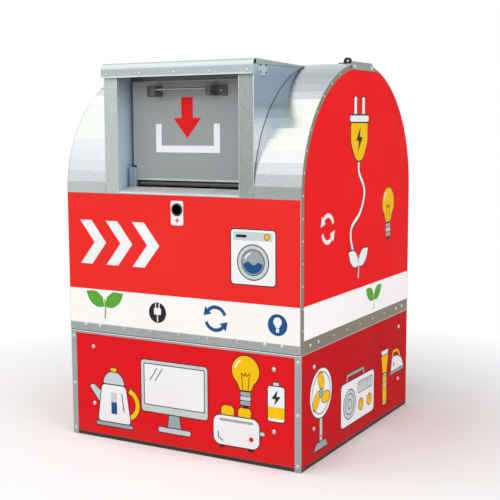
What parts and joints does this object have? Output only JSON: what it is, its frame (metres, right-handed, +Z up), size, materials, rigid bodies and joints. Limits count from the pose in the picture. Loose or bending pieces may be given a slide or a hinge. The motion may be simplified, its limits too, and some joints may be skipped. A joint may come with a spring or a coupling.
{
  "type": "recycling bin",
  "caption": "Steel street recycling container: bolted base, barrel-vault top, hooded tilting chute with a bar handle, battery port and a locked rear emptying door.",
  "frame": {"origin": "centre of the footprint on the floor", "axes": "+Z up, -Y towards the front with the chute, +X towards the right of someone facing the front"},
  "size_m": [1.216, 1.2673, 1.741],
  "materials": {
    "printed_panel": "satin film on galvanised sheet, bare margins",
    "galvanised_sheet": "galvanised",
    "structure_steel": "galvanised",
    "dark_frame": "matt",
    "zinc_fasteners": "zinc plated",
    "grey_flap": "satin",
    "turned_steel": "bright",
    "handle_plastic": "matt",
    "black_plastic": "matt",
    "rubber": "matt",
    "lock_metal": "satin"
  },
  "bodies": {
    "body": {"front_panel": "printed_panel", "left_end_wall": "printed_panel", "right_end_wall": "printed_panel", "base_front_panel": "printed_panel", "base_left_panel": "printed_panel", "base_right_panel": "printed_panel", "base_rear_panel": "printed_panel", "vault_skin": "galvanised_sheet", "rear_wall": "galvanised_sheet", "hood_roof": "galvanised_sheet", "hood_post_left": "galvanised_sheet", "hood_post_right": "galvanised_sheet", "hood_inner_cheek_left": "galvanised_sheet", "hood_inner_cheek_right": "galvanised_sheet", "hood_outer_cheek_left": "galvanised_sheet", "hood_outer_cheek_right": "galvanised_sheet", "hood_sill": "galvanised_sheet", "flap_guard_left": "galvanised_sheet", "flap_guard_right": "galvanised_sheet", "mouth_frame": "galvanised_sheet", "battery_tray": "galvanised_sheet", "door_frame": "galvanised_sheet", "lifting_plate_left": "galvanised_sheet", "lifting_plate_right": "galvanised_sheet", "floor_pan": "structure_steel", "base_rails": "structure_steel", "upper_rails": "structure_steel", "left_arch_rib": "structure_steel", "right_arch_rib": "structure_steel", "ridge_beam": "structure_steel", "base_plinth": "dark_frame", "floor_bearers": "dark_frame", "lifting_lugs": "dark_frame", "base_panel_bolts": "zinc_fasteners", "corner_strip_bolts": "zinc_fasteners", "seam_bolts": "zinc_fasteners", "lifting_plate_bolts": "zinc_fasteners", "hinge_pins": "turned_steel", "frame_hinge_leaves": "turned_steel", "battery_port": "black_plastic", "axle_bushes": "black_plastic", "mouth_seal": "rubber", "door_seal": "rubber", "chute_buffers": "rubber"},
    "chute": {"chute_flap": "grey_flap", "chute_side_left": "galvanised_sheet", "chute_side_right": "galvanised_sheet", "chute_floor": "galvanised_sheet", "chute_axle": "turned_steel", "chute_stop_pins": "zinc_fasteners", "handle_block_left": "handle_plastic", "handle_block_right": "handle_plastic", "handle_rod": "turned_steel", "handle_screws": "zinc_fasteners"},
    "rear_door": {"rear_door": "galvanised_sheet", "door_hinge_leaves": "turned_steel", "lock_case": "lock_metal"},
    "door_lock": {"lock_lever": "lock_metal", "lock_spindle": "turned_steel", "lock_cam": "turned_steel"}
  },
  "joints": [
    {"name": "chute_tilt", "type": "hinge", "parent": "body", "child": "chute", "pos_m": [0, -0.495, 1.183], "axis": [1, 0, 0], "range_deg": [0, 65]},
    {"name": "rear_door_swing", "type": "hinge", "parent": "body", "child": "rear_door", "pos_m": [0.432, 0.618, 0.84], "axis": [0, 0, -1], "range_deg": [0, 110]},
    {"name": "lock_turn", "type": "hinge", "parent": "rear_door", "child": "door_lock", "pos_m": [-0.375, 0.6, 0.84], "axis": [0, 1, 0], "range_deg": [0, 90]}
  ]
}
